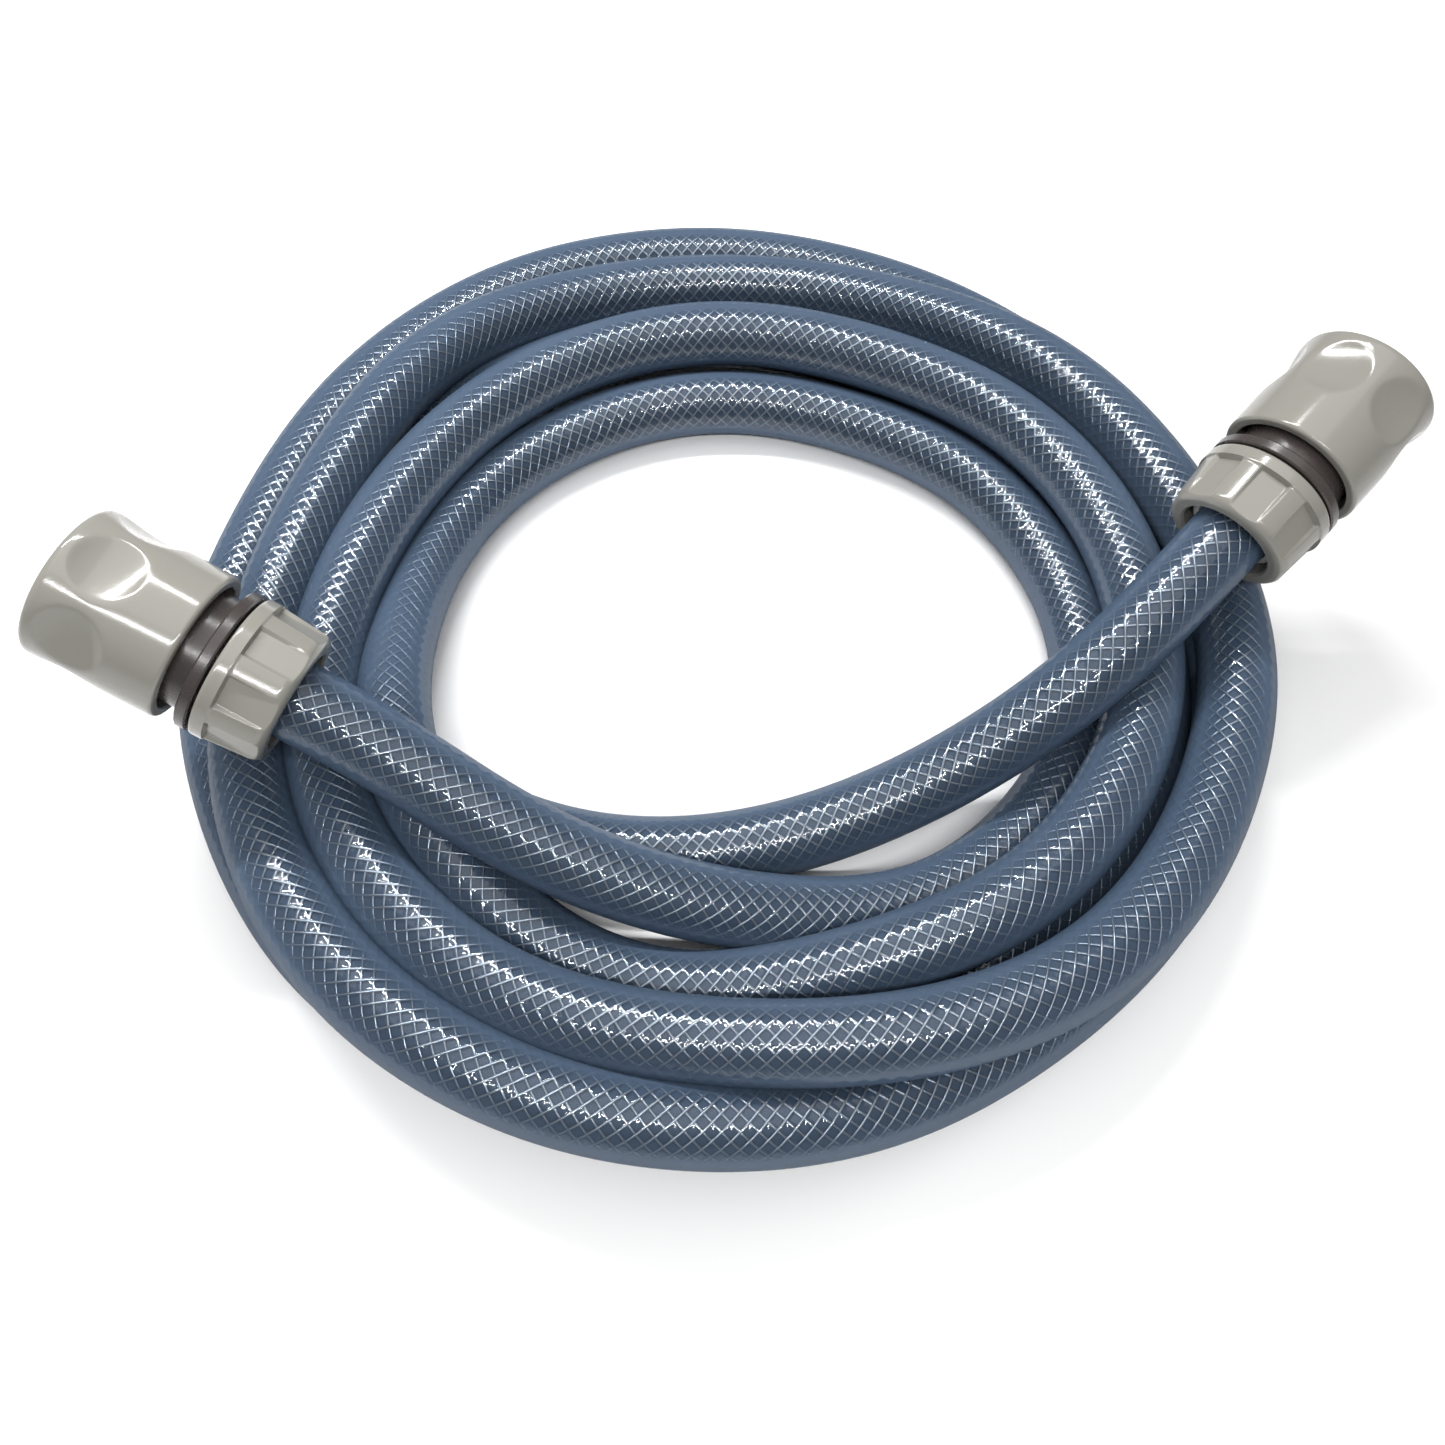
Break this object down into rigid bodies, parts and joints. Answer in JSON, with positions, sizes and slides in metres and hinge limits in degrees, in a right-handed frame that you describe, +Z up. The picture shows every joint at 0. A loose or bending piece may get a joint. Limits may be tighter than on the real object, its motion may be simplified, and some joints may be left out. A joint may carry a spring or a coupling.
{
  "type": "braided water hose with click-on connectors",
  "caption": "Clear blue braided water hose, loosely coiled, with a light grey click-on connector with a spring-loaded sleeve and a fluted clamp nut on each end.",
  "frame": {"origin": "centre of the bounding box, on the surface that the coil lies on", "axes": "+X from the inlet connector towards the outlet connector, along the longest extent; +Y away from the end that both free hose stretches lie near; +Z up"},
  "size_m": [0.3068, 0.2864, 0.086],
  "materials": {
    "hose_pvc": "clear tinted, glossy",
    "hose_yarn": "white polyester braid",
    "light_grey_plastic": "satin gloss",
    "dark_plastic": "satin",
    "acetal": "satin",
    "seal_rubber": "matte",
    "spring_steel": "bright"
  },
  "bodies": {
    "root": {"hose_coil": "hose_pvc", "hose_inlet_tail": "hose_pvc", "hose_outlet_tail": "hose_pvc", "inlet_inner_body": "dark_plastic", "inlet_seal_ring": "seal_rubber", "inlet_return_spring": "spring_steel", "inlet_retaining_ring": "acetal", "inlet_hose_end": "hose_pvc", "outlet_inner_body": "dark_plastic", "outlet_seal_ring": "seal_rubber", "outlet_return_spring": "spring_steel", "outlet_retaining_ring": "acetal", "outlet_hose_end": "hose_pvc"},
    "inlet_sleeve": {"inlet_locking_sleeve": "light_grey_plastic"},
    "inlet_grip": {"inlet_grip_ring": "acetal"},
    "inlet_nut": {"inlet_clamp_nut": "light_grey_plastic"},
    "inlet_claw_1": {"inlet_claw_1": "acetal"},
    "inlet_claw_2": {"inlet_claw_2": "acetal"},
    "inlet_claw_3": {"inlet_claw_3": "acetal"},
    "outlet_sleeve": {"outlet_locking_sleeve": "light_grey_plastic"},
    "outlet_grip": {"outlet_grip_ring": "acetal"},
    "outlet_nut": {"outlet_clamp_nut": "light_grey_plastic"},
    "outlet_claw_1": {"outlet_claw_1": "acetal"},
    "outlet_claw_2": {"outlet_claw_2": "acetal"},
    "outlet_claw_3": {"outlet_claw_3": "acetal"}
  },
  "joints": [
    {"name": "inlet_sleeve_slide", "type": "slide", "parent": "root", "child": "inlet_sleeve", "axis": [0.8496, -0.3415, -0.4019], "range_m": [0, 0.0036], "stiffness_N_per_m": 900, "springref_m": -0.006, "deforming": ["inlet_return_spring"]},
    {"name": "inlet_claw_1_lift", "type": "slide", "parent": "root", "child": "inlet_claw_1", "axis": [-0.3729, 0.1499, -0.9157], "range_m": [0, 0.0012]},
    {"name": "inlet_claw_2_lift", "type": "slide", "parent": "root", "child": "inlet_claw_2", "axis": [-0.1365, -0.8785, 0.4578], "range_m": [0, 0.0012]},
    {"name": "inlet_claw_3_lift", "type": "slide", "parent": "root", "child": "inlet_claw_3", "axis": [0.5095, 0.7286, 0.4578], "range_m": [0, 0.0012]},
    {"name": "inlet_nut_travel", "type": "slide", "parent": "root", "child": "inlet_grip", "axis": [0.8496, -0.3415, -0.4019], "range_m": [0, 0.00505]},
    {"name": "inlet_nut_turn", "type": "hinge", "parent": "inlet_grip", "child": "inlet_nut", "pos_m": [-0.10157, -0.0526, 0.0504], "axis": [0.8496, -0.3415, -0.4019], "range_deg": [0, 720]},
    {"name": "outlet_sleeve_slide", "type": "slide", "parent": "root", "child": "outlet_sleeve", "axis": [-0.6814, -0.6673, -0.3007], "range_m": [0, 0.0036], "stiffness_N_per_m": 900, "springref_m": -0.006, "deforming": ["outlet_return_spring"]},
    {"name": "outlet_claw_1_lift", "type": "slide", "parent": "root", "child": "outlet_claw_1", "axis": [0.2148, 0.2104, -0.9537], "range_m": [0, 0.0012]},
    {"name": "outlet_claw_2_lift", "type": "slide", "parent": "root", "child": "outlet_claw_2", "axis": [-0.7133, 0.5136, 0.4769], "range_m": [0, 0.0012]},
    {"name": "outlet_claw_3_lift", "type": "slide", "parent": "root", "child": "outlet_claw_3", "axis": [0.4985, -0.7239, 0.4769], "range_m": [0, 0.0012]},
    {"name": "outlet_nut_travel", "type": "slide", "parent": "root", "child": "outlet_grip", "axis": [-0.6814, -0.6673, -0.3007], "range_m": [0, 0.00505]},
    {"name": "outlet_nut_turn", "type": "hinge", "parent": "outlet_grip", "child": "outlet_nut", "pos_m": [0.10673, -0.0096, 0.0497], "axis": [-0.6814, -0.6673, -0.3007], "range_deg": [0, 720]}
  ],
  "couplings": [
    {"joint": "inlet_claw_1_lift", "follows": "inlet_sleeve_slide", "ratio": 0.325},
    {"joint": "inlet_claw_2_lift", "follows": "inlet_sleeve_slide", "ratio": 0.325},
    {"joint": "inlet_claw_3_lift", "follows": "inlet_sleeve_slide", "ratio": 0.325},
    {"joint": "inlet_nut_travel", "follows": "inlet_nut_turn", "m_per_rad": 0.00039789},
    {"joint": "outlet_claw_1_lift", "follows": "outlet_sleeve_slide", "ratio": 0.325},
    {"joint": "outlet_claw_2_lift", "follows": "outlet_sleeve_slide", "ratio": 0.325},
    {"joint": "outlet_claw_3_lift", "follows": "outlet_sleeve_slide", "ratio": 0.325},
    {"joint": "outlet_nut_travel", "follows": "outlet_nut_turn", "m_per_rad": 0.00039789}
  ]
}
